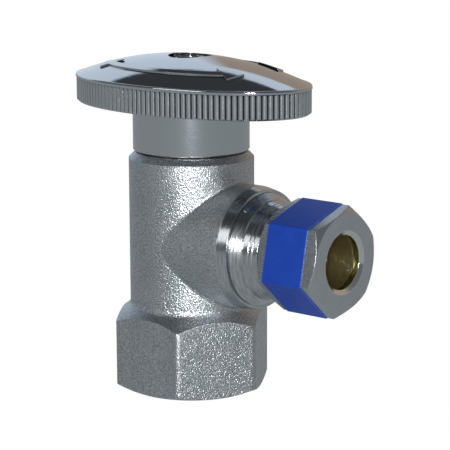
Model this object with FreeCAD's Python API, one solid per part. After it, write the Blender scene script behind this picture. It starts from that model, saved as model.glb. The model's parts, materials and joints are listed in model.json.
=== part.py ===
import FreeCAD, Part
import math
import os

# Quarter-turn angle stop valve: 1/2 in female pipe thread inlet, 3/8 in compression outlet, oval handle.
# Millimetres and degrees. The origin is the centre of the inlet's bottom face, +Z runs up the stem
# and +X runs out of the outlet. The handle lies along the outlet, which is the open position.
# OVERCUT is how far a cutting shape runs past the material, OVERLAP how far joined shapes sink in.

V = FreeCAD.Vector
INCH = 25.4
OVERCUT = 1.0
OVERLAP = 0.3

# --- Driving dimensions ---

# Body: inlet hexagon, barrel and side boss
HEX_FLATS = 26.16
HEX_EDGE_ROUND = 1.2
HEX_TOP = 14.6
HEX_SHOULDER_ANGLE = 36.6
FOOT_R = 12.25
FOOT_BEVEL_ANGLE = 24.0
BARREL_R = 11.57
BARREL_ROOT_ROUND = 1.6
BARREL_TOP = 44.4
BARREL_BEVEL_R = 10.4
BARREL_BEVEL_Z = 43.2
OUTLET_Z = 28.0
BOSS_BLEND = 0.7

# Outlet turning, as (radius, distance from the barrel's axis); the boss has the first ring's radius
BOSS_RING_START = (11.3, 14.85)
BOSS_RING_END = (10.85, 17.2)
SHOULDER_START = (10.3, 17.4)
SHOULDER_END = (9.2, 19.1)
COLLAR_START = (9.0, 19.25)
COLLAR_END = (8.5, 22.3)
RING_GROOVE_DEPTH = 0.15
COLLAR_RING_STEPS = (20.5, 21.3)
BOSS_R, BOSS_END = BOSS_RING_START
BOSS_ROOT_DEPTH = 3.0
SPIGOT_END = 29.8

# Inlet thread: 14 turns per inch, taper 1 in 16 on the diameter
PIPE_PITCH = INCH / 14
PIPE_DRILL_R = 9.13
PIPE_MOUTH_R = 10.7
PIPE_GROOVE_R = 10.45
PIPE_GROOVE_FLAT = 0.12
PIPE_TAPER_ANGLE = math.degrees(math.atan(1 / 32))
PIPE_THREAD_DEPTH = 11.2
PIPE_THREAD_ROOM = 12.4
PIPE_DRILL_DEPTH = 15.0
PIPE_PLAIN_RINGS = 3
DRILL_POINT_HALF_ANGLE = 59.0

# Outlet thread: 9/16 in, 24 turns per inch
NUT_PITCH = INCH / 24
SPIGOT_THREAD_R = 7.10
SPIGOT_ROOT_R = 6.50
NUT_CREST_R = 6.62
NUT_ROOT_R = 7.25
THREAD_HALF_ANGLE = 30.0
CREST_FLAT = NUT_PITCH / 8
THREAD_SIDE_PLAY = 0.10
UNDERCUT_R = 6.30
UNDERCUT_END = 23.5

# Waterway
TUBE_BORE_R = 4.85
TUBE_STOP_X = 20.0
SEAT_CONE_ANGLE = 20.0
SEAT_MOUTH_R = 6.0
PASSAGE_R = 3.9
INLET_PASSAGE_R = 4.2
CHAMBER_R = 8.6
CHAMBER_FLOOR = 21.0
BONNET_BORE_R = 9.25
BONNET_SEAT_Z = 39.5
BALL_R = 8.0
BALL_PORT_R = 3.6
SEAT_PLAY = 0.08
SEAT_R = 7.4
INLET_SEAT_BOTTOM = 19.6
INLET_SEAT_TOP = 21.85
INLET_POCKET_FLOOR = 18.2
OUTLET_SEAT_R = 6.0
OUTLET_SEAT_START = 5.9
OUTLET_SEAT_END = 9.0
OUTLET_POCKET_END = 10.4
POCKET_GAP = 0.08
REAR_SUPPORT_R = 4.5
REAR_SUPPORT_REACH = 6.4

# Stem and bonnet
STEM_R = 3.5
STEM_PLAY = 0.05
COLLAR_R = 5.6
COLLAR_BOTTOM = 36.4
COLLAR_TOP = 37.85
TANG_THICKNESS = 3.1
TANG_WIDTH = 10.4
TANG_BOTTOM = 34.0
SLOT_PLAY = 0.05
STEM_FLATS = 5.2
STEM_FLATS_START = 50.6
STEM_TOP = 55.2
STEM_END_BEVEL = 0.4
GROOVE_ROOT_R = 2.45
GROOVE_WIDTH = 1.4
STEM_GROOVES = (39.6, 42.4)
RING_PLAY = 0.02
WASHER_THICKNESS = 0.7
BONNET_BOTTOM = 36.3
BONNET_NOSE_R = 8.5
BONNET_R = 9.2
BONNET_HEX_FLATS = 16.0
BONNET_HEX_TOP = 48.4
BONNET_CROWN_INSET = 0.2
BONNET_CROWN_BEVEL = 1.0
BONNET_CAVITY_R = 5.8
BONNET_CAVITY_TOP = 38.65
BONNET_GROOVE_ROOT_R = 7.35
BONNET_GROOVE_Z = 37.2
BONNET_GROOVE_WIDTH = 1.7
BUSH_R = 4.6
BUSH_BOTTOM = 45.8

# Quarter-turn stop: the handle's lug swings between the ends of a curved wall on the bonnet
TURN = 90.0
LUG_ANGLE = 24.0
LUG_BOTTOM = 48.8
LUG_OPEN_DIRECTION = 90.0
STOP_PLAY_ANGLE = 1.5
STOP_WALL_INNER_R = 5.3
STOP_WALL_OUTER_R = 7.7
STOP_WALL_TOP = 51.0

# Handle
HANDLE_HALF_LENGTH = 25.65
HANDLE_HALF_WIDTH = 14.55
BAND_BOTTOM = 52.5
BAND_TOP = 57.0
BAND_BEVEL = (0.7, 0.47)
RIM_TOP = 57.75
RIM_OVERHANG = 0.12
RIM_WIDTH = 0.9
RIM_BEVEL = 0.15
RIM_ROUND = 0.3
DOME_TOP = 62.1
DOME_INSET = 0.55
FLUTE_COUNT = 120
FLUTE_DEPTH = 0.38
WALL = 2.0
BAND_WALL = 3.0
WEB_THICKNESS = 1.6
WEB_BOTTOM = 53.3
WEB_HEIGHT = 8.0
SKIRT_R = 10.75
SKIRT_WALL = 1.05
SKIRT_BOTTOM = 44.65
SKIRT_EDGE_BEVEL = 0.2
SKIRT_TOP = 59.5
SOCKET_BOSS_R = 4.9
SOCKET_BOTTOM = 49.6
SOCKET_BOSS_FLARE = 52.0
SOCKET_TOP = 55.4
RECESS_R = 4.1
RECESS_WALL = 1.7
RECESS_FLOOR = 57.7
ARROW_RISE = 0.36
ARROW_ROOT_Z = 58.4
ARROW_REACH = 0.70
ARROW_LINE = 1.8
ARROW_HEAD_LENGTH = 5.0
ARROW_HEAD_WIDTH = 5.6
ARROW_HALF_SWEEP = 47.0

# Handle screw
SCREW_R = 1.97
SCREW_PLAY = 0.03
SCREW_HOLE_R = 2.2
SCREW_END = 47.0
SCREW_END_PLAY = 1.0
SCREW_END_BEVEL = 0.6
SCREW_HEAD_R = 3.6
SCREW_HEAD_HEIGHT = 2.3
SCREW_HEAD_ROUND = 1.3
SCREW_SLOT_LENGTH = 4.0
SCREW_SLOT_WIDTH = 0.9
SCREW_SLOT_DEPTH = 1.4
LOCK_WASHER_THICKNESS = 0.9
LOCK_WASHER_R = 3.5
LOCK_WASHER_GAP_ANGLE = 14.0

# Compression nut, band and sleeve
NUT_FLATS = 11 / 16 * INCH
NUT_BACK = 22.5
NUT_FRONT = NUT_BACK + INCH / 2
NUT_FACE_R = 8.62
NUT_BACK_R = 8.5
NUT_BEVEL_ANGLE = 30.0
NUT_CORNER_LEAN = 12.0
NUT_EDGE_ROUND = 0.15
NUT_HOLE_R = 4.88
NUT_MOUTH_R = 5.67
NUT_MOUTH_DEPTH = 0.55
NUT_SHOULDER_X = 33.85
NUT_RELIEF = (31.4, 32.5)
NUT_RELIEF_R = 7.45
BAND_START = 24.3
BAND_END = 32.8
BAND_THICKNESS = 0.18
BAND_CORNER_ROUND = 0.45
SLEEVE_START = 27.6
SLEEVE_END = 33.4
SLEEVE_R = 5.6
SLEEVE_BORE_R = 4.82
SLEEVE_LIP_R = 5.1
SLEEVE_TAPER = 1.4


# --- Shape helpers ---

def unit(vector):
    return vector * (1 / vector.Length)


def outline(corners):
    """Closed face in the XZ plane through (radius, height) corners; a third number rounds that corner."""
    joins = []
    for i, corner in enumerate(corners):
        here = V(corner[0], 0, corner[1])
        if len(corner) == 2:
            joins.append((here, None, here))
            continue
        previous, following = corners[i - 1], corners[(i + 1) % len(corners)]
        back = unit(V(previous[0], 0, previous[1]) - here)
        ahead = unit(V(following[0], 0, following[1]) - here)
        half = back.getAngle(ahead) / 2
        inward = unit(back + ahead)
        reach = corner[2] / math.tan(half)
        depth = corner[2] / math.sin(half) - corner[2]
        joins.append((here + back * reach, here + inward * depth, here + ahead * reach))
    edges = []
    for (_, _, start), (end, middle, leave) in zip(joins, joins[1:] + joins[:1]):
        edges.append(Part.LineSegment(start, end).toShape())
        if middle:
            edges.append(Part.Arc(end, middle, leave).toShape())
    return Part.Face(Part.Wire(edges))


def turned(corners, angle=360.0):
    """Solid turned about Z from (radius, height) corners."""
    return outline(corners).revolve(V(0, 0, 0), V(0, 0, 1), angle)


def cylinder(radius, bottom, top):
    return Part.makeCylinder(radius, top - bottom, V(0, 0, bottom))


def hexagon(flats, bottom, top, corner_angle=0.0, edge_round=0.0):
    """Six-sided prism about Z with one corner at corner_angle."""
    corner_r = flats / math.sqrt(3)
    points = []
    for i in range(7):
        angle = math.radians(60 * i + corner_angle)
        points.append(V(corner_r * math.cos(angle), corner_r * math.sin(angle), bottom))
    prism = Part.Face(Part.makePolygon(points)).extrude(V(0, 0, top - bottom))
    if not edge_round:
        return prism
    upright = [e for e in prism.Edges if abs(e.tangentAt(e.FirstParameter).z) > 0.9]
    return prism.makeFillet(edge_round, upright)


def to_outlet(shape):
    """Moves a shape made about Z onto the outlet's axis, its height becoming the distance along +X."""
    moved = shape.copy()
    moved.rotate(V(0, 0, 0), V(0, 1, 0), 90)
    moved.translate(V(0, 0, OUTLET_Z))
    return moved


def sector(inner_r, outer_r, bottom, top, start_angle, sweep):
    """Curved wall about Z from start_angle through sweep."""
    corners = [(inner_r, bottom), (outer_r, bottom), (outer_r, top), (inner_r, top)]
    wall = turned(corners, sweep)
    wall.rotate(V(0, 0, 0), V(0, 0, 1), start_angle)
    return wall


def helix(pitch, height, radius, taper_angle=0.0):
    """Helix about Z from height 0, made of half turns, that reaches at least the given height."""
    rise = pitch / 2
    taper = math.radians(taper_angle)
    slant = rise / math.cos(taper)
    edges = []
    for i in range(math.ceil(height / rise)):
        half_turn = Part.makeHelix(2 * slant, slant, radius + i * rise * math.tan(taper), taper_angle)
        half_turn.rotate(V(0, 0, 0), V(0, 0, 1), 180 * i)
        half_turn.translate(V(0, 0, i * rise))
        edges += half_turn.Edges
    return Part.Wire(edges)


def helical_groove(path, profile):
    """Solid swept along a helix by a (radius, height) profile."""
    points = [V(r, 0, z) for r, z in profile]
    wire = Part.makePolygon(points + points[:1])
    return path.makePipeShell([wire], True, True)


def groove_profile(open_r, root_r, root_half_width):
    """V groove with a flat root, running out past open_r."""
    open_half = root_half_width + abs(open_r - root_r) * math.tan(math.radians(THREAD_HALF_ANGLE))
    return [(open_r, -open_half), (root_r, -root_half_width), (root_r, root_half_width), (open_r, open_half)]


def o_ring(inner_r, outer_r, height):
    """O-ring about Z that fills the gap between two walls."""
    section_r = (outer_r - inner_r) / 2
    return Part.makeTorus(inner_r + section_r, section_r, V(0, 0, height))


def ball_space():
    """The ball with the play that its seats leave round it."""
    return Part.makeSphere(BALL_R + SEAT_PLAY, V(0, 0, OUTLET_Z))


# --- Body ---

def body_outside():
    """Hexagon, shoulder and barrel as one turned bar cut to a hexagon, with the side boss blended in."""
    slope = math.tan(math.radians(HEX_SHOULDER_ANGLE))
    flat_r = HEX_FLATS / 2
    rim_r = HEX_FLATS / math.sqrt(3) + OVERCUT
    foot_rise = (rim_r - FOOT_R) * math.tan(math.radians(FOOT_BEVEL_ANGLE))
    bar = turned([
        (0, 0),
        (FOOT_R, 0),
        (rim_r, foot_rise),
        (rim_r, HEX_TOP - (rim_r - flat_r) * slope),
        (BARREL_R, HEX_TOP + (flat_r - BARREL_R) * slope, BARREL_ROOT_ROUND),
        (BARREL_R, BARREL_BEVEL_Z),
        (BARREL_BEVEL_R, BARREL_TOP),
        (0, BARREL_TOP),
    ])
    bar = bar.common(hexagon(HEX_FLATS, 0, BARREL_TOP, 0, HEX_EDGE_ROUND))
    boss = to_outlet(cylinder(BOSS_R, 0, BOSS_END))
    body = bar.fuse(boss)
    seam = [e for e in body.Edges if is_boss_seam(e)]
    return body.makeFillet(BOSS_BLEND, seam)


def is_boss_seam(edge):
    """True for an edge that lies on the barrel's wall and on the side boss's wall."""
    for share in (1 / 3, 2 / 3):
        p = edge.valueAt(edge.getParameterByLength(edge.Length * share))
        on_barrel = abs(math.hypot(p.x, p.y) - BARREL_R) < 0.01
        on_boss = abs(math.hypot(p.y, p.z - OUTLET_Z) - BOSS_R) < 0.01
        if not (on_barrel and on_boss):
            return False
    return True


def outlet_turning():
    """Turned rings, shoulder, stepped collar, undercut and spigot beyond the boss."""
    spigot_bevel = SPIGOT_THREAD_R - UNDERCUT_R
    root_r = BOSS_R - OVERLAP
    groove_r = SHOULDER_START[0] - RING_GROOVE_DEPTH
    slope = (COLLAR_START[0] - COLLAR_END[0]) / (COLLAR_END[1] - COLLAR_START[1])
    collar = []
    for step_x in COLLAR_RING_STEPS:
        ring_r = COLLAR_START[0] - slope * (step_x - COLLAR_START[1])
        collar += [
            (ring_r, step_x - RING_GROOVE_DEPTH),
            (ring_r - RING_GROOVE_DEPTH, step_x),
            (ring_r, step_x + RING_GROOVE_DEPTH),
        ]
    return to_outlet(turned([
        (0, BOSS_END - BOSS_ROOT_DEPTH),
        (root_r, BOSS_END - BOSS_ROOT_DEPTH),
        (root_r, BOSS_END),
        (BOSS_R, BOSS_END),
        BOSS_RING_END,
        (groove_r, BOSS_RING_END[1]),
        (groove_r, SHOULDER_START[1]),
        SHOULDER_START,
        SHOULDER_END,
        COLLAR_START,
        *collar,
        COLLAR_END,
        (UNDERCUT_R, COLLAR_END[1]),
        (UNDERCUT_R, UNDERCUT_END),
        (SPIGOT_THREAD_R, UNDERCUT_END),
        (SPIGOT_THREAD_R, SPIGOT_END - spigot_bevel),
        (UNDERCUT_R, SPIGOT_END),
        (0, SPIGOT_END),
    ]))


def inlet_thread_groove():
    """Tapered thread groove, widest at the mouth."""
    top_r = PIPE_GROOVE_R - PIPE_THREAD_DEPTH * math.tan(math.radians(PIPE_TAPER_ANGLE))
    run = PIPE_THREAD_DEPTH + PIPE_PITCH
    path = helix(PIPE_PITCH, run, top_r, PIPE_TAPER_ANGLE)
    groove = helical_groove(path, groove_profile(PIPE_DRILL_R - OVERCUT, top_r, PIPE_GROOVE_FLAT / 2))
    groove.rotate(V(0, 0, 0), V(1, 0, 0), 180)
    groove.translate(V(0, 0, PIPE_THREAD_DEPTH))
    return groove


def spigot_thread_groove():
    slope = math.tan(math.radians(THREAD_HALF_ANGLE))
    root_half = (NUT_PITCH - CREST_FLAT) / 2 - (SPIGOT_THREAD_R - SPIGOT_ROOT_R) * slope
    start = (COLLAR_END[1] + UNDERCUT_END) / 2
    path = helix(NUT_PITCH, SPIGOT_END + NUT_PITCH - start, SPIGOT_ROOT_R)
    groove = helical_groove(path, groove_profile(SPIGOT_THREAD_R + OVERLAP, SPIGOT_ROOT_R, root_half))
    groove.translate(V(0, 0, start))
    return to_outlet(groove)


def vertical_bore():
    """Tapping bore, plain past its thread, then the ball chamber and the bonnet bore up to the top."""
    point_rise = (PIPE_DRILL_R - INLET_PASSAGE_R) / math.tan(math.radians(DRILL_POINT_HALF_ANGLE))
    mouth_depth = PIPE_MOUTH_R - PIPE_DRILL_R
    below = turned([
        (0, -OVERCUT),
        (PIPE_MOUTH_R + OVERCUT, -OVERCUT),
        (PIPE_DRILL_R, mouth_depth),
        (PIPE_DRILL_R, PIPE_THREAD_ROOM),
        (0, PIPE_THREAD_ROOM),
    ])
    ring = (PIPE_DRILL_DEPTH - PIPE_THREAD_ROOM) / PIPE_PLAIN_RINGS
    plain_rings = [(PIPE_DRILL_R, PIPE_THREAD_ROOM + i * ring) for i in range(PIPE_PLAIN_RINGS + 1)]
    inner = turned([
        (0, PIPE_THREAD_ROOM),
        *plain_rings,
        (INLET_PASSAGE_R, PIPE_DRILL_DEPTH + point_rise),
        (INLET_PASSAGE_R, INLET_POCKET_FLOOR),
        (SEAT_R + POCKET_GAP, INLET_POCKET_FLOOR),
        (SEAT_R + POCKET_GAP, CHAMBER_FLOOR),
        (CHAMBER_R, CHAMBER_FLOOR),
        (CHAMBER_R, BONNET_SEAT_Z),
        (BONNET_BORE_R, BONNET_SEAT_Z),
        (BONNET_BORE_R, BARREL_TOP + OVERCUT),
        (0, BARREL_TOP + OVERCUT),
    ])
    return below, inner


def outlet_bore():
    """Seat pocket, passage, tube socket and the cone that the sleeve seats in."""
    cone_run = (SEAT_MOUTH_R - TUBE_BORE_R) / math.tan(math.radians(SEAT_CONE_ANGLE))
    return to_outlet(turned([
        (0, 0),
        (OUTLET_SEAT_R + POCKET_GAP, 0),
        (OUTLET_SEAT_R + POCKET_GAP, OUTLET_POCKET_END),
        (PASSAGE_R, OUTLET_POCKET_END),
        (PASSAGE_R, TUBE_STOP_X),
        (TUBE_BORE_R, TUBE_STOP_X),
        (TUBE_BORE_R, SPIGOT_END - cone_run),
        (SEAT_MOUTH_R, SPIGOT_END),
        (SEAT_MOUTH_R, SPIGOT_END + OVERCUT),
        (0, SPIGOT_END + OVERCUT),
    ]))


def valve_body():
    body = body_outside().fuse(outlet_turning())
    for tool in (*vertical_bore(), outlet_bore(), inlet_thread_groove(), spigot_thread_groove()):
        body = body.cut(tool)
    return body


# --- Ball and seats ---

def ball():
    """Ball with a port in at the bottom and out at the side, and a slot for the stem's tang on top."""
    sphere = Part.makeSphere(BALL_R, V(0, 0, OUTLET_Z))
    ports = cylinder(BALL_PORT_R, OUTLET_Z - BALL_R - OVERCUT, OUTLET_Z)
    ports = ports.fuse(to_outlet(cylinder(BALL_PORT_R, 0, BALL_R + OVERCUT)))
    slot_width = TANG_THICKNESS + 2 * SLOT_PLAY
    slot_bottom = TANG_BOTTOM - SLOT_PLAY
    slot = Part.makeBox(slot_width, 4 * BALL_R, BALL_R, V(-slot_width / 2, -2 * BALL_R, slot_bottom))
    return sphere.cut(ports).cut(slot)


def inlet_seat():
    ring = cylinder(SEAT_R, INLET_SEAT_BOTTOM, INLET_SEAT_TOP)
    ring = ring.cut(cylinder(PASSAGE_R, INLET_SEAT_BOTTOM - OVERCUT, INLET_SEAT_TOP + OVERCUT))
    return ring.cut(ball_space())


def inlet_seat_o_ring():
    section = INLET_SEAT_BOTTOM - INLET_POCKET_FLOOR - 2 * STEM_PLAY
    return o_ring(SEAT_R - section, SEAT_R, INLET_SEAT_BOTTOM - STEM_PLAY - section / 2)


def outlet_seat():
    ring = cylinder(OUTLET_SEAT_R, OUTLET_SEAT_START, OUTLET_SEAT_END)
    ring = ring.cut(cylinder(PASSAGE_R, OUTLET_SEAT_START - OVERCUT, OUTLET_SEAT_END + OVERCUT))
    return to_outlet(ring).cut(ball_space())


def outlet_seat_o_ring():
    section = OUTLET_POCKET_END - OUTLET_SEAT_END - 2 * STEM_PLAY
    ring = o_ring(OUTLET_SEAT_R - section, OUTLET_SEAT_R, OUTLET_SEAT_END + STEM_PLAY + section / 2)
    return to_outlet(ring)


def rear_ball_support():
    """Round pad that fills the gap between the ball and the chamber's back wall."""
    pad = cylinder(REAR_SUPPORT_R, -CHAMBER_R, -REAR_SUPPORT_REACH)
    chamber = cylinder(CHAMBER_R - POCKET_GAP, CHAMBER_FLOOR, BONNET_SEAT_Z)
    return to_outlet(pad).common(chamber).cut(ball_space())


# --- Bonnet and stem ---

def bonnet():
    """Threaded gland with a hexagon head, stem bore, O-ring groove and the stop's curved wall."""
    body = turned([
        (0, BONNET_BOTTOM),
        (BONNET_NOSE_R, BONNET_BOTTOM),
        (BONNET_NOSE_R, BONNET_SEAT_Z + POCKET_GAP),
        (BONNET_R, BONNET_SEAT_Z + POCKET_GAP),
        (BONNET_R, BARREL_TOP - POCKET_GAP),
        (0, BARREL_TOP - POCKET_GAP),
    ])
    head = hexagon(BONNET_HEX_FLATS, BARREL_TOP - POCKET_GAP, BONNET_HEX_TOP, 30)
    crown_r = BONNET_HEX_FLATS / 2 - BONNET_CROWN_INSET
    bevel_cone = turned([
        (0, BARREL_TOP - OVERCUT),
        (crown_r + 2 * BONNET_CROWN_BEVEL, BARREL_TOP - OVERCUT),
        (crown_r + 2 * BONNET_CROWN_BEVEL, BONNET_HEX_TOP - BONNET_CROWN_BEVEL),
        (crown_r, BONNET_HEX_TOP),
        (0, BONNET_HEX_TOP),
    ])
    window = TURN + LUG_ANGLE + 2 * STOP_PLAY_ANGLE
    window_end = LUG_OPEN_DIRECTION + LUG_ANGLE / 2 + STOP_PLAY_ANGLE
    wall = sector(
        STOP_WALL_INNER_R, STOP_WALL_OUTER_R, BONNET_HEX_TOP - OVERLAP, STOP_WALL_TOP,
        window_end, 360 - window,
    )
    body = body.fuse(head.common(bevel_cone)).fuse(wall)
    groove_top = BONNET_GROOVE_Z + BONNET_GROOVE_WIDTH
    groove = cylinder(BONNET_NOSE_R + OVERCUT, BONNET_GROOVE_Z, groove_top)
    groove = groove.cut(cylinder(BONNET_GROOVE_ROOT_R, BONNET_GROOVE_Z - OVERCUT, groove_top + OVERCUT))
    body = body.cut(groove)
    body = body.cut(cylinder(BONNET_CAVITY_R, BONNET_BOTTOM - OVERCUT, BONNET_CAVITY_TOP))
    body = body.cut(cylinder(STEM_R + STEM_PLAY, BONNET_BOTTOM, STOP_WALL_TOP + OVERCUT))
    return body.cut(cylinder(BUSH_R, BUSH_BOTTOM, STOP_WALL_TOP + OVERCUT))


def bonnet_o_ring():
    return o_ring(BONNET_GROOVE_ROOT_R, CHAMBER_R, BONNET_GROOVE_Z + BONNET_GROOVE_WIDTH / 2)


def stem():
    """Collar and shank turned in one, a tang below, two flats above and a tapped hole in the top."""
    tapped_bottom = SCREW_END - SCREW_END_PLAY
    shank = turned([
        (0, COLLAR_BOTTOM),
        (COLLAR_R, COLLAR_BOTTOM),
        (COLLAR_R, COLLAR_TOP),
        (STEM_R, COLLAR_TOP),
        (STEM_R, STEM_TOP - STEM_END_BEVEL),
        (STEM_R - STEM_END_BEVEL, STEM_TOP),
        (0, STEM_TOP),
    ])
    tang = Part.makeBox(
        TANG_THICKNESS, TANG_WIDTH, COLLAR_BOTTOM - TANG_BOTTOM + OVERLAP,
        V(-TANG_THICKNESS / 2, -TANG_WIDTH / 2, TANG_BOTTOM),
    )
    shape = shank.fuse(tang)
    for bottom in STEM_GROOVES:
        top = bottom + GROOVE_WIDTH
        groove = cylinder(STEM_R + OVERCUT, bottom, top)
        shape = shape.cut(groove.cut(cylinder(GROOVE_ROOT_R, bottom - OVERCUT, top + OVERCUT)))
    shape = shape.cut(cylinder(SCREW_R + SCREW_PLAY, tapped_bottom, STEM_TOP + OVERCUT))
    return shape.cut(beside_flats(STEM_FLATS, STEM_FLATS_START, STEM_TOP + OVERCUT))


def beside_flats(flats, bottom, top):
    """The two blocks outside a pair of flats that face +Y and -Y."""
    size = 4 * STEM_R
    block = Part.makeBox(size, size, top - bottom, V(-size / 2, flats / 2, bottom))
    return block.fuse(block.mirror(V(0, 0, 0), V(0, 1, 0)))


def stem_o_ring(groove_bottom):
    return o_ring(GROOVE_ROOT_R + RING_PLAY, STEM_R + RING_PLAY, groove_bottom + GROOVE_WIDTH / 2)


def stem_thrust_washer():
    bottom = COLLAR_TOP + STEM_PLAY
    washer = cylinder(COLLAR_R - 2 * STEM_PLAY, bottom, bottom + WASHER_THICKNESS)
    return washer.cut(cylinder(STEM_R + 2 * STEM_PLAY, bottom - OVERCUT, bottom + WASHER_THICKNESS + OVERCUT))


def stem_guide_bush():
    bush = cylinder(BUSH_R - STEM_PLAY, BUSH_BOTTOM, BONNET_HEX_TOP - STEM_PLAY)
    return bush.cut(cylinder(STEM_R + STEM_PLAY, BUSH_BOTTOM - OVERCUT, BONNET_HEX_TOP + OVERCUT))


# --- Handle ---

def to_oval(shape):
    """Squeezes a shape that is round about Z, at the handle's half length, to the handle's oval."""
    squeeze = FreeCAD.Matrix()
    squeeze.scale(V(1, HANDLE_HALF_WIDTH / HANDLE_HALF_LENGTH, 1))
    return shape.transformGeometry(squeeze)


def oval_points(count, inset):
    """Evenly spaced points along the handle's oval edge, moved inward by inset."""
    steps = 40 * count
    a, b = HANDLE_HALF_LENGTH, HANDLE_HALF_WIDTH
    angles = [2 * math.pi * i / steps for i in range(steps + 1)]
    lengths = [0.0]
    for first, second in zip(angles, angles[1:]):
        step = math.hypot(a * (math.cos(second) - math.cos(first)), b * (math.sin(second) - math.sin(first)))
        lengths.append(lengths[-1] + step)
    points, i = [], 0
    for k in range(count):
        while lengths[i + 1] < lengths[-1] * k / count:
            i += 1
        x, y = a * math.cos(angles[i]), b * math.sin(angles[i])
        normal = unit(V(x / a ** 2, y / b ** 2, 0))
        points.append(V(x, y, 0) - normal * inset)
    return points


def fluted_band():
    """Oval band whose edge is a row of rounded ridges with sharp valleys between them."""
    crests = oval_points(2 * FLUTE_COUNT, RIM_OVERHANG)[0::2]
    valleys = oval_points(2 * FLUTE_COUNT, RIM_OVERHANG + FLUTE_DEPTH)[1::2]
    ridges = [
        Part.Arc(valleys[i - 1], crests[i], valleys[i]).toShape() for i in range(FLUTE_COUNT)
    ]
    band = Part.Face(Part.Wire(ridges)).extrude(V(0, 0, BAND_TOP - BAND_BOTTOM))
    band.translate(V(0, 0, BAND_BOTTOM))
    bevel = to_oval(turned([
        (0, BAND_BOTTOM),
        (HANDLE_HALF_LENGTH - BAND_BEVEL[0], BAND_BOTTOM),
        (HANDLE_HALF_LENGTH + BAND_BEVEL[0], BAND_BOTTOM + 2 * BAND_BEVEL[1]),
        (HANDLE_HALF_LENGTH + BAND_BEVEL[0], BAND_TOP),
        (0, BAND_TOP),
    ]))
    return band.common(bevel)


def dome_sphere(drop=0.0):
    """Sphere whose top is the dome of the round form that to_oval squeezes; drop lowers it."""
    edge_r = HANDLE_HALF_LENGTH - DOME_INSET
    height = DOME_TOP - RIM_TOP
    dome_r = (edge_r ** 2 + height ** 2) / (2 * height)
    return Part.makeSphere(dome_r, V(0, 0, DOME_TOP - dome_r - drop))


def round_dome():
    return cylinder(HANDLE_HALF_LENGTH - DOME_INSET, BAND_TOP, DOME_TOP + OVERCUT).common(dome_sphere())


def arrow_marks():
    """Raised quarter-turn signs: a curved line with an arrow head at each end, one on each long side."""
    radius = HANDLE_HALF_LENGTH * ARROW_REACH
    inner_r, outer_r = radius - ARROW_HEAD_WIDTH / 2, radius + ARROW_HEAD_WIDTH / 2
    marks = []
    for side in (-90, 90):
        marks.append(sector(
            radius - ARROW_LINE / 2, radius + ARROW_LINE / 2, ARROW_ROOT_Z, DOME_TOP + OVERCUT,
            side - ARROW_HALF_SWEEP, 2 * ARROW_HALF_SWEEP,
        ))
        for end in (-1, 1):
            tip = V(radius, end * ARROW_HEAD_LENGTH, ARROW_ROOT_Z)
            barbs = [V(inner_r, 0, ARROW_ROOT_Z), V(outer_r, 0, ARROW_ROOT_Z)]
            head = Part.Face(Part.makePolygon([*barbs, tip, barbs[0]]))
            head = head.extrude(V(0, 0, DOME_TOP - ARROW_ROOT_Z))
            head.rotate(V(0, 0, 0), V(0, 0, 1), side + end * ARROW_HALF_SWEEP)
            marks.append(head)
    return to_oval(marks[0].multiFuse(marks[1:]).common(dome_sphere(-ARROW_RISE)))


def handle_hollow():
    """Space under the dome and inside the band, leaving the wall thickness."""
    space = cylinder(HANDLE_HALF_LENGTH - BAND_WALL, BAND_BOTTOM - OVERCUT, DOME_TOP)
    return to_oval(space.common(dome_sphere(WALL)))


def handle_hub():
    """Skirt, socket boss and stop lug."""
    skirt = turned([
        (SKIRT_R - SKIRT_WALL, SKIRT_BOTTOM),
        (SKIRT_R - SKIRT_EDGE_BEVEL, SKIRT_BOTTOM),
        (SKIRT_R, SKIRT_BOTTOM + SKIRT_EDGE_BEVEL),
        (SKIRT_R, SKIRT_TOP),
        (SKIRT_R - SKIRT_WALL, SKIRT_TOP),
    ])
    boss = turned([
        (0, SOCKET_BOTTOM),
        (SOCKET_BOSS_R, SOCKET_BOTTOM),
        (SOCKET_BOSS_R, SOCKET_BOSS_FLARE),
        (RECESS_R + RECESS_WALL, SOCKET_BOSS_FLARE + OVERCUT),
        (RECESS_R + RECESS_WALL, SKIRT_TOP + OVERCUT),
        (0, SKIRT_TOP + OVERCUT),
    ])
    lug = sector(
        SOCKET_BOSS_R - OVERLAP, SKIRT_R - SKIRT_WALL / 2, LUG_BOTTOM, SKIRT_TOP,
        LUG_OPEN_DIRECTION - LUG_ANGLE / 2, LUG_ANGLE,
    )
    return [skirt, boss, lug]


def handle_webs(outside):
    """Two webs inside the handle's outside that tie the skirt to the band."""
    length = HANDLE_HALF_LENGTH - SKIRT_R - WALL
    corner = V(SKIRT_R - OVERLAP, -WEB_THICKNESS / 2, WEB_BOTTOM)
    web = Part.makeBox(length, WEB_THICKNESS, WEB_HEIGHT, corner)
    web = web.common(outside)
    return [web, web.mirror(V(0, 0, 0), V(1, 0, 0))]


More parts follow.
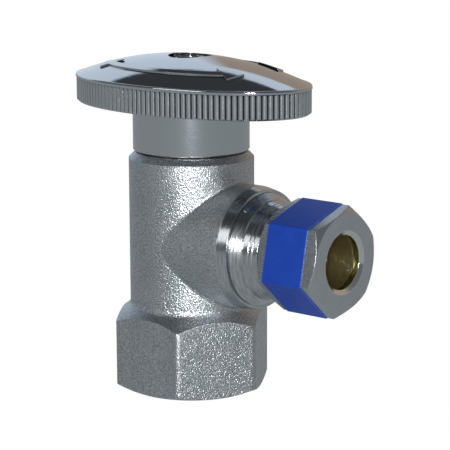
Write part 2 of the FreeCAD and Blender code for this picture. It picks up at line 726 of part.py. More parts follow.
def handle():
    rim = turned([
        (HANDLE_HALF_LENGTH - RIM_WIDTH - OVERCUT, BAND_TOP),
        (HANDLE_HALF_LENGTH - RIM_BEVEL, BAND_TOP),
        (HANDLE_HALF_LENGTH, BAND_TOP + RIM_BEVEL),
        (HANDLE_HALF_LENGTH, RIM_TOP, RIM_ROUND),
        (HANDLE_HALF_LENGTH - RIM_WIDTH, RIM_TOP, RIM_ROUND),
        (HANDLE_HALF_LENGTH - RIM_WIDTH - OVERCUT, BAND_TOP + RIM_BEVEL),
    ])
    top = to_oval(round_dome().fuse(rim))
    outside = top.fuse(fluted_band())
    shape = outside.cut(handle_hollow())
    shape = shape.multiFuse([*handle_hub(), *handle_webs(outside), arrow_marks()])
    shape = shape.cut(cylinder(RECESS_R, RECESS_FLOOR, DOME_TOP + OVERCUT))
    shape = shape.cut(cylinder(SCREW_HOLE_R, SOCKET_BOTTOM - OVERCUT, RECESS_FLOOR + OVERCUT))
    socket = cylinder(STEM_R + STEM_PLAY, SOCKET_BOTTOM - OVERCUT, SOCKET_TOP)
    play = 2 * STEM_PLAY
    keyed = socket.cut(beside_flats(STEM_FLATS + play, STEM_FLATS_START + play, SOCKET_TOP + OVERCUT))
    return shape.cut(keyed)


def handle_screw():
    """Pan head screw with a cross recess."""
    underside = RECESS_FLOOR + LOCK_WASHER_THICKNESS
    top = underside + SCREW_HEAD_HEIGHT
    screw = turned([
        (0, SCREW_END),
        (SCREW_R - SCREW_END_BEVEL, SCREW_END),
        (SCREW_R, SCREW_END + SCREW_END_BEVEL),
        (SCREW_R, underside),
        (SCREW_HEAD_R, underside),
        (SCREW_HEAD_R, top, SCREW_HEAD_ROUND),
        (0, top),
    ])
    for length, width in ((SCREW_SLOT_LENGTH, SCREW_SLOT_WIDTH), (SCREW_SLOT_WIDTH, SCREW_SLOT_LENGTH)):
        corner = V(-length / 2, -width / 2, top - SCREW_SLOT_DEPTH)
        screw = screw.cut(Part.makeBox(length, width, SCREW_SLOT_DEPTH + OVERCUT, corner))
    return screw


def screw_lock_washer():
    """Split washer; the split leaves a narrow gap."""
    return sector(
        SCREW_HOLE_R, LOCK_WASHER_R, RECESS_FLOOR, RECESS_FLOOR + LOCK_WASHER_THICKNESS,
        LOCK_WASHER_GAP_ANGLE, 360 - LOCK_WASHER_GAP_ANGLE,
    )


# --- Compression joint ---

def nut_prism(flats, start, end, edge_round=0.0):
    """Hexagon on the outlet's axis with one corner leaning from straight up towards +Y."""
    prism = hexagon(flats, start, end, 180 - NUT_CORNER_LEAN, edge_round)
    return to_outlet(prism)


def compression_nut():
    corner_r = NUT_FLATS / math.sqrt(3) + OVERCUT
    slope = math.tan(math.radians(NUT_BEVEL_ANGLE))
    blank = to_outlet(turned([
        (0, NUT_BACK),
        (NUT_BACK_R, NUT_BACK),
        (corner_r, NUT_BACK + (corner_r - NUT_BACK_R) * slope),
        (corner_r, NUT_FRONT - (corner_r - NUT_FACE_R) * slope),
        (NUT_FACE_R, NUT_FRONT),
        (0, NUT_FRONT),
    ]))
    bore = to_outlet(turned([
        (0, NUT_BACK - OVERCUT),
        (NUT_RELIEF_R + OVERCUT, NUT_BACK - OVERCUT),
        (NUT_CREST_R, NUT_BACK + NUT_RELIEF_R - NUT_CREST_R),
        (NUT_CREST_R, NUT_RELIEF[0]),
        (NUT_RELIEF_R, NUT_RELIEF[0]),
        (NUT_RELIEF_R, NUT_RELIEF[1]),
        (NUT_HOLE_R + NUT_SHOULDER_X - NUT_RELIEF[1], NUT_RELIEF[1]),
        (NUT_HOLE_R, NUT_SHOULDER_X),
        (NUT_HOLE_R, NUT_FRONT - NUT_MOUTH_DEPTH),
        (NUT_MOUTH_R, NUT_FRONT),
        (NUT_MOUTH_R, NUT_FRONT + OVERCUT),
        (0, NUT_FRONT + OVERCUT),
    ]))
    prism = nut_prism(NUT_FLATS, NUT_BACK, NUT_FRONT, NUT_EDGE_ROUND)
    return prism.common(blank).cut(bore).cut(nut_thread_groove())


def nut_thread_groove():
    """Groove that the spigot's ridge runs in, half a pitch out of step with the spigot's own groove."""
    slope = math.tan(math.radians(THREAD_HALF_ANGLE))
    ridge_half = CREST_FLAT / 2 + (SPIGOT_THREAD_R - NUT_CREST_R) * slope
    root_half = ridge_half + THREAD_SIDE_PLAY - (NUT_ROOT_R - NUT_CREST_R) * slope
    spigot_start = (COLLAR_END[1] + UNDERCUT_END) / 2
    start = spigot_start - 3 * NUT_PITCH / 2
    path = helix(NUT_PITCH, NUT_RELIEF[0] - start, NUT_ROOT_R)
    groove = helical_groove(path, groove_profile(NUT_CREST_R - OVERLAP, NUT_ROOT_R, root_half))
    groove.translate(V(0, 0, start))
    return to_outlet(groove)


def nut_colour_band():
    outer = nut_prism(NUT_FLATS + 2 * BAND_THICKNESS, BAND_START, BAND_END, BAND_CORNER_ROUND)
    return outer.cut(nut_prism(NUT_FLATS, BAND_START - OVERCUT, BAND_END + OVERCUT, NUT_EDGE_ROUND))


def compression_sleeve():
    """Soft brass ring, thin at both ends."""
    return to_outlet(turned([
        (SLEEVE_BORE_R, SLEEVE_START),
        (SLEEVE_LIP_R, SLEEVE_START),
        (SLEEVE_R, SLEEVE_START + SLEEVE_TAPER),
        (SLEEVE_R, SLEEVE_END - SLEEVE_TAPER),
        (SLEEVE_LIP_R, SLEEVE_END),
        (SLEEVE_BORE_R, SLEEVE_END),
    ]))


# --- Output ---

def main():
    os.makedirs("parts", exist_ok=True)
    nodes = {
        "valve_body": valve_body(),
        "ball": ball(),
        "inlet_seat": inlet_seat(),
        "inlet_seat_o_ring": inlet_seat_o_ring(),
        "outlet_seat": outlet_seat(),
        "outlet_seat_o_ring": outlet_seat_o_ring(),
        "rear_ball_support": rear_ball_support(),
        "bonnet": bonnet(),
        "bonnet_o_ring": bonnet_o_ring(),
        "stem": stem(),
        "stem_o_ring_lower": stem_o_ring(STEM_GROOVES[0]),
        "stem_o_ring_upper": stem_o_ring(STEM_GROOVES[1]),
        "stem_thrust_washer": stem_thrust_washer(),
        "stem_guide_bush": stem_guide_bush(),
        "handle": handle(),
        "handle_screw": handle_screw(),
        "screw_lock_washer": screw_lock_washer(),
        "compression_nut": compression_nut(),
        "nut_colour_band": nut_colour_band(),
        "compression_sleeve": compression_sleeve(),
    }
    for name, shape in nodes.items():
        solids = shape.Solids
        print(f"{name}: {len(solids)} solid, {shape.Volume:.0f} mm3, valid {shape.isValid()}")
        shape = solids[0] if len(solids) == 1 else Part.makeCompound(solids)
        shape.exportStep(os.path.join("parts", name + ".step"))


main()
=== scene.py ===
import json
import math

import bpy
from mathutils import Matrix, Vector


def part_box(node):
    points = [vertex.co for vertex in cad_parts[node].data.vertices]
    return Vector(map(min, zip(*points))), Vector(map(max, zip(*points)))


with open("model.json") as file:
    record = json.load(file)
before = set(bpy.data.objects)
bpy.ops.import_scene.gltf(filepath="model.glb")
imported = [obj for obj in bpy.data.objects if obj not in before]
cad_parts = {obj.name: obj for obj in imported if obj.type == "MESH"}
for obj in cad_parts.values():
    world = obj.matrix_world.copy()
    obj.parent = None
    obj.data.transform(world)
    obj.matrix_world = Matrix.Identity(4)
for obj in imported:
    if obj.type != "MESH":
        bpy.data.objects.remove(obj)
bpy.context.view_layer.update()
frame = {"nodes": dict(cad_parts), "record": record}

MM = 0.001

# --- Places on the object, from the frame ---

MOUNTS = {mount["name"]: mount for mount in frame["record"]["mounts"]}
INLET_R = MOUNTS["inlet"]["dims"]["r_mm"] * MM
TUBE_R = MOUNTS["outlet_tube"]["dims"]["r_mm"] * MM
OUTLET_Z = MOUNTS["outlet_tube"]["pos_m"][2]
_, BODY_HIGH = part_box("valve_body")
_, NUT_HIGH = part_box("compression_nut")
_, HANDLE_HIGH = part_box("handle")

# The turned outlet begins here, and everything nearer the barrel keeps its blasted skin
TURNED_FROM_X = BODY_HIGH.x - 14.65 * MM

# The outlet's streaks are measured round a drum of this radius. On a flat shoulder they follow the
# distance from the axis, which counts for this share of a distance along it
STREAK_DRUM_R = 10 * MM
STREAK_REACH_SHARE = 0.7

# The body is bare brass inside these radii, up to just below the barrel's mouth
BODY_BARE_R = INLET_R + 1.77 * MM
BODY_BARE_TO_Z = BODY_HIGH.z - 1.4 * MM
SPIGOT_BARE_R = 6.15 * MM

# The nut's hole, the chamfer round it, its thread and its front face
NUT_HOLE_R = TUBE_R + 0.20 * MM
NUT_MOUTH_R = TUBE_R + 0.93 * MM
NUT_THREAD_R = 7.6 * MM
NUT_THREAD_TO_X = NUT_HIGH.x - 1.0 * MM
NUT_FRONT_X = NUT_HIGH.x - 0.75 * MM

# The handle's skirt, fluted band and dome meet at these heights
SKIRT_TO_BAND_Z = HANDLE_HIGH.z - 9.6 * MM
BAND_TO_DOME_Z = HANDLE_HIGH.z - 5.0 * MM


# --- Node helpers ---

class Nodes:
    """A node tree, with the steps that the finishes, the floor and the world share."""

    def __init__(self, tree):
        self.tree = tree

    def add(self, kind, **settings):
        node = self.tree.nodes.new(kind)
        for key, value in settings.items():
            setattr(node, key, value)
        return node

    def link(self, source, socket):
        """Wire another node's output to the socket, or set the socket to a plain value."""
        if isinstance(source, bpy.types.NodeSocket):
            self.tree.links.new(source, socket)
        else:
            socket.default_value = source

    def math(self, operation, first, second=0.0, clamp=False):
        node = self.add("ShaderNodeMath", operation=operation, use_clamp=clamp)
        self.link(first, node.inputs[0])
        self.link(second, node.inputs[1])
        return node.outputs[0]

    def both(self, first, second):
        """The product of two masks or numbers."""
        return self.math("MULTIPLY", first, second)

    def dot(self, first, second):
        node = self.add("ShaderNodeVectorMath", operation="DOT_PRODUCT")
        self.link(first, node.inputs[0])
        self.link(second, node.inputs[1])
        return node.outputs["Value"]

    def remap(self, value, low, high, from_low=0.0, from_high=1.0):
        """A number that goes from low to high while value goes from from_low to from_high."""
        node = self.add("ShaderNodeMapRange")
        self.link(value, node.inputs["Value"])
        ends = {"From Min": from_low, "From Max": from_high, "To Min": low, "To Max": high}
        for name, number in ends.items():
            node.inputs[name].default_value = number
        return node.outputs["Result"]

    def ramp(self, value, start, end):
        """0 on the side of start, 1 past end, and even between them."""
        return self.remap(value, 0.0, 1.0, start, end)

    def choose(self, mask, where_0, where_1):
        """A number that goes from where_0 to where_1 with the mask."""
        node = self.add("ShaderNodeMix", data_type="FLOAT")
        self.link(mask, node.inputs[0])
        self.link(where_0, node.inputs[2])
        self.link(where_1, node.inputs[3])
        return node.outputs[0]

    def colours(self, mask, where_0, where_1):
        """A colour that goes from where_0 to where_1 with the mask."""
        node = self.add("ShaderNodeMix", data_type="RGBA")
        self.link(mask, node.inputs[0])
        for value, socket in ((where_0, node.inputs[6]), (where_1, node.inputs[7])):
            self.link((*value, 1) if isinstance(value, tuple) else value, socket)
        return node.outputs[2]

    def white_to_camera(self, colour):
        """White where the camera looks straight at it, and colour in the object's reflections."""
        seen = self.add("ShaderNodeLightPath").outputs["Is Camera Ray"]
        return self.colours(seen, colour, WHITE)


class Surface(Nodes):
    """A material, with the patterns that the finishes below are made of."""

    def __init__(self, name, base, metallic=1.0, roughness=0.3):
        self.material = bpy.data.materials.new(name)
        self.material.use_nodes = True
        super().__init__(self.material.node_tree)
        self.shader = self.tree.nodes["Principled BSDF"]
        self.shader.inputs["Base Color"].default_value = (*base, 1)
        self.shader.inputs["Metallic"].default_value = metallic
        self.shader.inputs["Roughness"].default_value = roughness
        self.where = self.add("ShaderNodeTexCoord").outputs["Object"]

    def axes(self):
        split = self.add("ShaderNodeSeparateXYZ")
        self.link(self.where, split.inputs[0])
        return split.outputs

    def length(self, first, second):
        squares = [self.math("POWER", side, 2) for side in (first, second)]
        return self.math("SQRT", self.math("ADD", *squares))

    def radius_about_z(self):
        x, y, _ = self.axes()
        return self.length(x, y)

    def radius_about_outlet(self):
        _, y, z = self.axes()
        return self.length(y, self.math("SUBTRACT", z, OUTLET_Z))

    def above(self, value, edge, blend=0.05 * MM):
        """1 where value is over edge and 0 below it, with a narrow blend between."""
        return self.ramp(value, edge - blend, edge + blend)

    def below(self, value, edge):
        return self.math("SUBTRACT", 1.0, self.above(value, edge))

    def noise_at(self, place, detail):
        """Noise over any coordinates, with blobs about one unit across."""
        noise = self.add("ShaderNodeTexNoise")
        noise.inputs["Scale"].default_value = 1.0
        noise.inputs["Detail"].default_value = detail
        self.link(place, noise.inputs["Vector"])
        return noise.outputs["Fac"]

    def noise(self, size, detail, stretch=(1, 1, 1)):
        """Noise whose blobs are about size across, stretched by a factor along each axis."""
        mapping = self.add("ShaderNodeMapping")
        mapping.inputs["Scale"].default_value = tuple(1 / (size * factor) for factor in stretch)
        self.link(self.where, mapping.inputs["Vector"])
        return self.noise_at(mapping.outputs[0], detail)

    def rings(self, along, size):
        """Lathe lines: noise that varies only along one coordinate."""
        noise = self.add("ShaderNodeTexNoise", noise_dimensions="1D")
        noise.inputs["Scale"].default_value = 1 / size
        noise.inputs["Detail"].default_value = 3.0
        self.link(along, noise.inputs["W"])
        return noise.outputs["Fac"]

    def lathe_streaks(self, length, width):
        """Fine streaks that run round the outlet's axis, on its cylinders and its flat shoulders."""
        x, y, z = self.axes()
        angle = self.math("ARCTAN2", y, self.math("SUBTRACT", z, OUTLET_Z))
        round_axis = self.both(angle, STREAK_DRUM_R)
        across = self.math("ADD", x, self.both(self.radius_about_outlet(), STREAK_REACH_SHARE))
        place = self.add("ShaderNodeCombineXYZ")
        self.link(self.math("DIVIDE", round_axis, length), place.inputs[0])
        self.link(self.math("DIVIDE", across, width), place.inputs[1])
        return self.noise_at(place.outputs[0], detail=2.0)

    def soft_edges(self, radius):
        bevel = self.add("ShaderNodeBevel", samples=6)
        bevel.inputs["Radius"].default_value = radius
        return bevel.outputs["Normal"]

    def worn_edges(self, radius, gain):
        """1 on sharp edges, 0 on flat ground: how far the rounded normal leans away from the true one."""
        true_normal = self.add("ShaderNodeNewGeometry").outputs["Normal"]
        lean = self.math("SUBTRACT", 1.0, self.dot(self.soft_edges(radius), true_normal))
        return self.math("MULTIPLY", lean, gain, clamp=True)

    def open_ground(self, distance):
        """1 in the open, 0 deep in a groove."""
        occlusion = self.add("ShaderNodeAmbientOcclusion", samples=6)
        occlusion.inputs["Distance"].default_value = distance
        return occlusion.outputs["AO"]

    def bump(self, height, depth, normal=None, strength=1.0):
        node = self.add("ShaderNodeBump")
        node.inputs["Distance"].default_value = depth
        self.link(strength, node.inputs["Strength"])
        self.link(height, node.inputs["Height"])
        if normal is not None:
            self.link(normal, node.inputs["Normal"])
        return node.outputs["Normal"]

    def finish(self, colour, roughness, normal):
        for name, value in (("Base Color", colour), ("Roughness", roughness), ("Normal", normal)):
            self.link(value, self.shader.inputs[name])
        return self.material


# --- Finishes ---

WHITE = (1.0, 1.0, 1.0)
CHROME = (0.60, 0.63, 0.65)
CHROME_DULL = (0.50, 0.53, 0.55)
# Brighter than any plate: a painted highlight on the nut's polished mouth
CHROME_POLISHED_GLINT = (0.78, 0.80, 0.80)
# Dark and near-white ends of the body's speckle: partly its grain tone, partly painted glints
GRAIN_GLINT_DARK = (0.36, 0.385, 0.405)
GRAIN_GLINT_BRIGHT = (0.95, 0.98, 1.0)
# Painted shade for the handle's flutes and hollows
FLUTE_PAINTED_SHADE = (0.07, 0.075, 0.085)
BRASS = (0.90, 0.84, 0.60)
BRASS_DULL = (0.60, 0.54, 0.33)
BRASS_TARNISH = (0.30, 0.21, 0.09)
PALE_BRASS = (0.95, 0.93, 0.66)
PALE_BRASS_DULL = (0.86, 0.84, 0.52)
BLUE = (0.015, 0.06, 0.46)
BLUE_DEEP = (0.009, 0.044, 0.33)
BLUE_BRIGHT = (0.014, 0.068, 0.44)
BLUE_WORN = (0.16, 0.28, 0.72)
BALL_DULL = (0.56, 0.58, 0.60)
BALL_BRIGHT = (0.70, 0.72, 0.74)
ZINC = (0.5, 0.51, 0.52)
# Painted shade for the screw deep in its recess
ZINC_PAINTED_SHADE = (0.12, 0.12, 0.12)
ZINC_DULL = (0.42, 0.43, 0.44)
ZINC_BRIGHT = (0.60, 0.61, 0.62)
PTFE = (0.86, 0.86, 0.84)
PTFE_DULL = (0.80, 0.80, 0.77)
PTFE_BRIGHT = (0.90, 0.90, 0.88)
RUBBER = (0.025, 0.025, 0.026)
RUBBER_DARK = (0.018, 0.018, 0.019)
RUBBER_BLOOM = (0.040, 0.040, 0.040)


def blasted_chrome():
    """Body: satin plate over a shot-blasted casting, turned bright at the outlet, bare brass in the bores,
    with painted glints speckled into the plate's colour.
    """
    s = Surface("blasted_chrome", CHROME)
    x, _, z = s.axes()
    turned = s.above(x, TURNED_FROM_X)
    in_body = s.both(s.below(s.radius_about_z(), BODY_BARE_R), s.below(z, BODY_BARE_TO_Z))
    in_spigot = s.both(s.below(s.radius_about_outlet(), SPIGOT_BARE_R), turned)
    bore = s.math("MAXIMUM", in_body, in_spigot)
    machined = s.math("MAXIMUM", turned, bore)

    grain = s.noise(size=0.21 * MM, detail=0.5)
    pits = s.noise(size=0.6 * MM, detail=1.0)
    patches = s.noise(size=4.5 * MM, detail=3.0)
    skin = s.math("ADD", grain, s.both(pits, 0.6))
    streaks = s.lathe_streaks(length=2.4 * MM, width=0.13 * MM)
    bore_rings = s.rings(z, size=0.15 * MM)

    normal = s.soft_edges(radius=0.16 * MM)
    normal = s.bump(skin, 0.115 * MM, normal, strength=s.choose(machined, 1.0, 0.0))
    normal = s.bump(streaks, 0.022 * MM, normal, strength=turned)
    normal = s.bump(bore_rings, 0.012 * MM, normal, strength=in_body)
    normal = s.bump(grain, 0.16 * MM, normal, strength=in_spigot)

    cloudy = s.remap(patches, 0.0, 1.0, from_low=0.35, from_high=0.7)
    plate = s.colours(cloudy, CHROME_DULL, CHROME)
    # Partly the plate's own grain tone, partly painted glints: the grain and streak noise speckles the colour
    # from dark to near white.
    blasted_glint_grain = s.remap(grain, 0.0, 1.0, from_low=0.36, from_high=0.64)
    turned_glint_streaks = s.remap(streaks, 0.2, 0.9, from_low=0.3, from_high=0.6)
    glint_grain = s.choose(machined, blasted_glint_grain, turned_glint_streaks)
    plate = s.colours(glint_grain, GRAIN_GLINT_DARK, s.colours(0.3, plate, GRAIN_GLINT_BRIGHT))
    brass_speckle = s.remap(grain, 0.0, 1.0, from_low=0.4, from_high=0.6)
    colour = s.colours(bore, plate, s.colours(brass_speckle, BRASS_DULL, BRASS))
    roughness = s.choose(machined, s.remap(patches, 0.33, 0.40), s.remap(streaks, 0.10, 0.26))
    return s.finish(colour, s.choose(bore, roughness, 0.20), normal)


def handle_chrome():
    """Handle: bright plate over a die casting, mirror-like on the dome, duller on the band and the skirt,
    with painted shade darkening its flutes and other hollows.
    """
    s = Surface("handle_chrome", CHROME)
    _, _, z = s.axes()
    dome = s.above(z, BAND_TO_DOME_Z, blend=0.15 * MM)
    band = s.math("SUBTRACT", s.above(z, SKIRT_TO_BAND_Z, blend=0.1 * MM), dome)
    waves = s.noise(size=3.5 * MM, detail=1.0)
    grain = s.noise(size=0.45 * MM, detail=1.0)
    smears = s.noise(size=2.5 * MM, detail=4.0, stretch=(1, 1, 0.4))

    normal = s.soft_edges(radius=0.10 * MM)
    normal = s.bump(waves, 0.035 * MM, normal, strength=0.5)
    normal = s.bump(grain, 0.018 * MM, normal, strength=s.choose(dome, 0.8, 0.15))
    # Painted shade: the colour goes dark in the flutes and other hollows, wherever ambient occlusion finds
    # the surface closed in.
    bright_share = s.remap(s.open_ground(1.0 * MM), 0.0, 1.0, from_low=0.45, from_high=0.92)
    colour = s.colours(bright_share, FLUTE_PAINTED_SHADE, CHROME)
    roughness = s.choose(dome, s.remap(smears, 0.06, 0.16), s.remap(smears, 0.04, 0.10))
    roughness = s.math("ADD", roughness, s.both(band, 0.04))
    return s.finish(colour, roughness, normal)


def nut_chrome():
    """Nut: satin plate, turned in rings on the front face, polished at the mouth with a brighter colour that
    paints in a highlight, bare brass in the hole.
    """
    s = Surface("nut_chrome", CHROME)
    x, _, _ = s.axes()
    reach = s.radius_about_outlet()
    mouth = s.below(reach, NUT_MOUTH_R)
    thread = s.both(s.below(reach, NUT_THREAD_R), s.below(x, NUT_THREAD_TO_X))
    bare = s.math("MAXIMUM", s.below(reach, NUT_HOLE_R), thread)
    front = s.above(x, NUT_FRONT_X)
    rings = s.rings(reach, size=0.12 * MM)
    drawn = s.noise(size=0.16 * MM, detail=3.0, stretch=(14, 1, 1))
    patches = s.noise(size=3.0 * MM, detail=3.0)

    normal = s.soft_edges(radius=0.12 * MM)
    normal = s.bump(rings, 0.008 * MM, normal, strength=front)
    normal = s.bump(drawn, 0.003 * MM, normal, strength=s.choose(front, 1.0, 0.0))
    # Real polish and a painted highlight: the mouth's chamfer gets a colour brighter than any chrome plate.
    colour = s.colours(mouth, s.colours(patches, CHROME_DULL, CHROME), CHROME_POLISHED_GLINT)
    colour = s.colours(bare, colour, s.colours(patches, PALE_BRASS_DULL, PALE_BRASS))
    roughness = s.choose(front, s.remap(drawn, 0.20, 0.32), s.remap(rings, 0.22, 0.34))
    return s.finish(colour, s.choose(mouth, roughness, 0.09), normal)


def blue_band():
    """Band: semi-gloss blue coat, thin and pale where it turns over an edge."""
    s = Surface("blue_band", BLUE, metallic=0.0, roughness=0.35)
    s.shader.inputs["Coat Weight"].default_value = 0.06
    s.shader.inputs["Coat Roughness"].default_value = 0.18
    s.shader.inputs["Specular IOR Level"].default_value = 0.2
    tone = s.noise(size=2.2 * MM, detail=3.0)
    fine = s.noise(size=0.25 * MM, detail=2.0)
    scuffs = s.noise(size=0.5 * MM, detail=5.0, stretch=(6, 1, 1))
    worn = s.worn_edges(radius=0.22 * MM, gain=4.0)
    worn = s.both(worn, s.remap(scuffs, 0.2, 1.0, from_low=0.3, from_high=0.6))
    colour = s.colours(worn, s.colours(tone, BLUE_DEEP, BLUE_BRIGHT), BLUE_WORN)
    normal = s.bump(fine, 0.012 * MM, s.soft_edges(radius=0.15 * MM), strength=0.6)
    return s.finish(colour, s.remap(scuffs, 0.28, 0.45), normal)


def brass():
    """Turned brass with fine lathe lines and a little tarnish in its grooves."""
    s = Surface("brass", BRASS)
    x, _, z = s.axes()
    lines = s.rings(s.math("ADD", x, z), size=0.09 * MM)
    specks = s.noise(size=0.26 * MM, detail=0.5)
    tarnish = s.noise(size=1.6 * MM, detail=4.0)
    bright_share = s.both(s.open_ground(0.7 * MM), s.remap(tarnish, 0.6, 1.0))
    normal = s.bump(lines, 0.010 * MM, s.soft_edges(radius=0.08 * MM))
    normal = s.bump(specks, 0.20 * MM, normal)
    return s.finish(s.colours(bright_share, BRASS_TARNISH, BRASS), s.remap(tarnish, 0.12, 0.24), normal)


def ball_chrome():
    """Ball: polished plate with faint scratches from the seats."""
    s = Surface("ball_chrome", CHROME)
    _, _, z = s.axes()
    scratches = s.rings(z, size=0.2 * MM)
    smears = s.noise(size=3.0 * MM, detail=4.0)
    colour = s.colours(smears, BALL_DULL, BALL_BRIGHT)
    return s.finish(colour, s.remap(smears, 0.04, 0.14), s.bump(scratches, 0.004 * MM))


def screw_steel():
    """Zinc-plated screw and washer: slightly mottled, with painted shade darkening it deep in the recess."""
    s = Surface("screw_steel", ZINC)
    spangle = s.noise(size=0.6 * MM, detail=3.0)
    plate = s.colours(spangle, ZINC_DULL, ZINC_BRIGHT)
    # Painted shade: the colour goes dark where ambient occlusion finds the screw closed in by the recess.
    colour = s.colours(s.open_ground(0.9 * MM), ZINC_PAINTED_SHADE, plate)
    normal = s.bump(spangle, 0.02 * MM, s.soft_edges(radius=0.10 * MM), strength=0.6)
    return s.finish(colour, s.remap(spangle, 0.22, 0.40), normal)


def ptfe():
    """Seats, washer and bush: white and waxy, with fine cutting marks."""
    s = Surface("ptfe", PTFE, metallic=0.0, roughness=0.42)
    s.shader.inputs["Subsurface Weight"].default_value = 0.15
    s.shader.inputs["Subsurface Radius"].default_value = (0.6 * MM, 0.6 * MM, 0.5 * MM)
    s.shader.inputs["Subsurface Scale"].default_value = 1.0
    cloud = s.noise(size=2.0 * MM, detail=3.0)
    cuts = s.noise(size=0.12 * MM, detail=2.0)
    colour = s.colours(cloud, PTFE_DULL, PTFE_BRIGHT)
    return s.finish(colour, s.remap(cloud, 0.36, 0.5), s.bump(cuts, 0.008 * MM, strength=0.6))


def rubber():
    """O-rings: black rubber with a faint bloom."""
    s = Surface("rubber", RUBBER, metallic=0.0, roughness=0.5)
    bloom = s.noise(size=1.2 * MM, detail=4.0)
    grain = s.noise(size=0.1 * MM, detail=2.0)
    colour = s.colours(bloom, RUBBER_DARK, RUBBER_BLOOM)
    return s.finish(colour, s.remap(bloom, 0.42, 0.62), s.bump(grain, 0.01 * MM, strength=0.5))


FINISHES = {
    "blasted_chrome": blasted_chrome,
    "handle_chrome": handle_chrome,
    "nut_chrome": nut_chrome,
    "blue_band": blue_band,
    "brass": brass,
    "ball_chrome": ball_chrome,
    "screw_steel": screw_steel,
    "ptfe": ptfe,
    "rubber": rubber,
}


def dress_nodes():
    materials = {slot: make() for slot, make in FINISHES.items()}
    for part in frame["record"]["subparts"]:
        mesh = frame["nodes"][part["node"]].data
        mesh.materials.clear()
        mesh.materials.append(materials[part["material_slot"]])


# --- Stage: camera, floor, surroundings and lights ---

# The photograph's viewing angle; AIM_RIGHT and AIM_UP turn the camera a little off its target
VIEW_AZIMUTH = math.radians(40.847)
VIEW_ELEVATION = math.radians(11.645)
VIEW_ROLL = math.radians(-0.432)
VIEW_DISTANCE = 354.05 * MM
VIEW_TARGET = Vector((0, 0, 30 * MM))
AIM_RIGHT = 0.017316
AIM_UP = 0.000654
SENSOR_WIDTH = 36.0
FOCAL_LENGTH_IN_WIDTHS = 4.2353

# Directions as the camera sees them, and the middle of the dark area overhead
AWAY = Vector((-math.sin(VIEW_AZIMUTH), math.cos(VIEW_AZIMUTH), 0))
RIGHT = Vector((math.cos(VIEW_AZIMUTH), math.sin(VIEW_AZIMUTH), 0))
UP = Vector((0, 0, 1))
OVERHEAD_LEAN = math.radians(15)
OVERHEAD = UP * math.cos(OVERHEAD_LEAN) - RIGHT * math.sin(OVERHEAD_LEAN)

FLOOR_HALF_WIDTH = 3.0
FLOOR_BASE = (0.05, 0.052, 0.055)
FLOOR_GLOW = (0.28, 0.30, 0.31)
ROOM = (0.13, 0.14, 0.15)
BACKDROP = (0.66, 0.75, 0.88)
WARM_WALL = (0.38, 0.31, 0.26)
CEILING = (0.045, 0.05, 0.055)

# Each area of the room fades in from the first cosine to the second, away, right, up or overhead
BACKDROP_AWAY = (0.45, 0.60)
BACKDROP_RIGHT = (0.50, 0.35)
WARM_WALL_RIGHT = (-0.02, 0.04)
WARM_WALL_UP = (0.56, 0.53)
WARM_WALL_AWAY = (-0.3, 0.0)
CEILING_OVERHEAD = (0.645, 0.675)

LIGHT_TARGET = Vector((5 * MM, 0, 30 * MM))


def make_camera():
    toward = Vector((
        math.sin(VIEW_AZIMUTH) * math.cos(VIEW_ELEVATION),
        -math.cos(VIEW_AZIMUTH) * math.cos(VIEW_ELEVATION),
        math.sin(VIEW_ELEVATION),
    ))
    forward = -toward
    level_up = RIGHT.cross(forward)
    right = RIGHT * math.cos(VIEW_ROLL) + level_up * math.sin(VIEW_ROLL)
    up = level_up * math.cos(VIEW_ROLL) - RIGHT * math.sin(VIEW_ROLL)
    back = -(forward + right * AIM_RIGHT + up * AIM_UP).normalized()
    right = up.cross(back).normalized()
    up = back.cross(right)
    data = bpy.data.cameras.new("camera")
    data.sensor_width = SENSOR_WIDTH
    data.lens = SENSOR_WIDTH * FOCAL_LENGTH_IN_WIDTHS
    data.clip_start = 0.01
    data.clip_end = 20.0
    camera = bpy.data.objects.new("camera", data)
    bpy.context.scene.collection.objects.link(camera)
    place = VIEW_TARGET + toward * VIEW_DISTANCE
    camera.matrix_world = Matrix.Translation(place) @ Matrix((right, up, back)).transposed().to_4x4()
    bpy.context.scene.camera = camera


def make_floor():
    """Plain pale floor. It shows white to the camera and one even grey in the object's reflections."""
    material = bpy.data.materials.new("floor")
    material.use_nodes = True
    nodes = Nodes(material.node_tree)
    shader = material.node_tree.nodes["Principled BSDF"]
    shader.inputs["Base Color"].default_value = (*FLOOR_BASE, 1)
    shader.inputs["Roughness"].default_value = 0.9
    shader.inputs["Specular IOR Level"].default_value = 0.0
    shader.inputs["Emission Strength"].default_value = 1.0
    nodes.link(nodes.white_to_camera(FLOOR_GLOW), shader.inputs["Emission Color"])

    signs = ((-1, -1), (1, -1), (1, 1), (-1, 1))
    corners = [(x * FLOOR_HALF_WIDTH, y * FLOOR_HALF_WIDTH, 0) for x, y in signs]
    mesh = bpy.data.meshes.new("floor")
    mesh.from_pydata(corners, [], [(0, 1, 2, 3)])
    mesh.materials.append(material)
    floor = bpy.data.objects.new("floor", mesh)
    bpy.context.scene.collection.objects.link(floor)


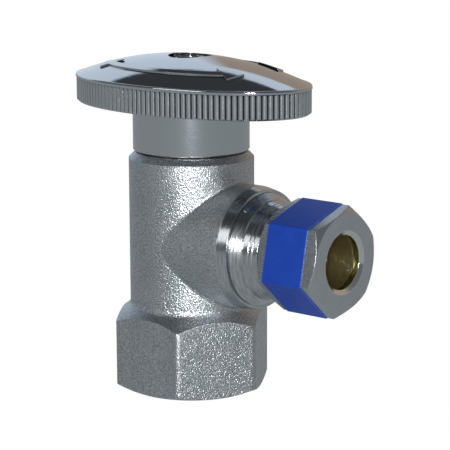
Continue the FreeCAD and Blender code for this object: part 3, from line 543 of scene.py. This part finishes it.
def make_surroundings():
    """A soft studio: a pale backdrop behind, a warm wall at the right, dark overhead, grey elsewhere."""
    world = bpy.data.worlds.new("studio")
    bpy.context.scene.world = world
    world.use_nodes = True
    nodes = Nodes(world.node_tree)
    ray = nodes.add("ShaderNodeTexCoord").outputs["Generated"]
    away, right, up, overhead = (nodes.dot(ray, axis) for axis in (AWAY, RIGHT, UP, OVERHEAD))

    backdrop = nodes.both(nodes.ramp(away, *BACKDROP_AWAY), nodes.ramp(right, *BACKDROP_RIGHT))
    low_and_behind = nodes.both(nodes.ramp(up, *WARM_WALL_UP), nodes.ramp(away, *WARM_WALL_AWAY))
    warm_wall = nodes.both(nodes.ramp(right, *WARM_WALL_RIGHT), low_and_behind)
    ceiling = nodes.ramp(overhead, *CEILING_OVERHEAD)
    colour = nodes.colours(backdrop, ROOM, BACKDROP)
    colour = nodes.colours(warm_wall, colour, WARM_WALL)
    colour = nodes.colours(ceiling, colour, CEILING)
    nodes.link(nodes.white_to_camera(colour), world.node_tree.nodes["Background"].inputs["Color"])


def make_light(name, azimuth, elevation, distance, width, height, power):
    """Softbox aimed at the object; azimuth is measured from the camera's side, positive to its right."""
    azimuth, elevation = math.radians(azimuth), math.radians(elevation)
    level = -AWAY * math.cos(azimuth) + RIGHT * math.sin(azimuth)
    toward = level * math.cos(elevation) + UP * math.sin(elevation)
    place = LIGHT_TARGET + toward * distance
    data = bpy.data.lights.new(name, "AREA")
    data.shape = "RECTANGLE"
    data.size = width
    data.size_y = height
    data.energy = power
    light = bpy.data.objects.new(name, data)
    bpy.context.scene.collection.objects.link(light)
    light.location = place
    light.rotation_euler = (LIGHT_TARGET - place).to_track_quat("-Z", "Y").to_euler()


bpy.context.scene.view_settings.view_transform = "Standard"
make_camera()
dress_nodes()
make_floor()
make_surroundings()
make_light("key", azimuth=-1, elevation=11, distance=0.45, width=0.08, height=0.10, power=1.5)
make_light("fill", azimuth=-60, elevation=25, distance=0.8, width=0.4, height=0.3, power=0.5)
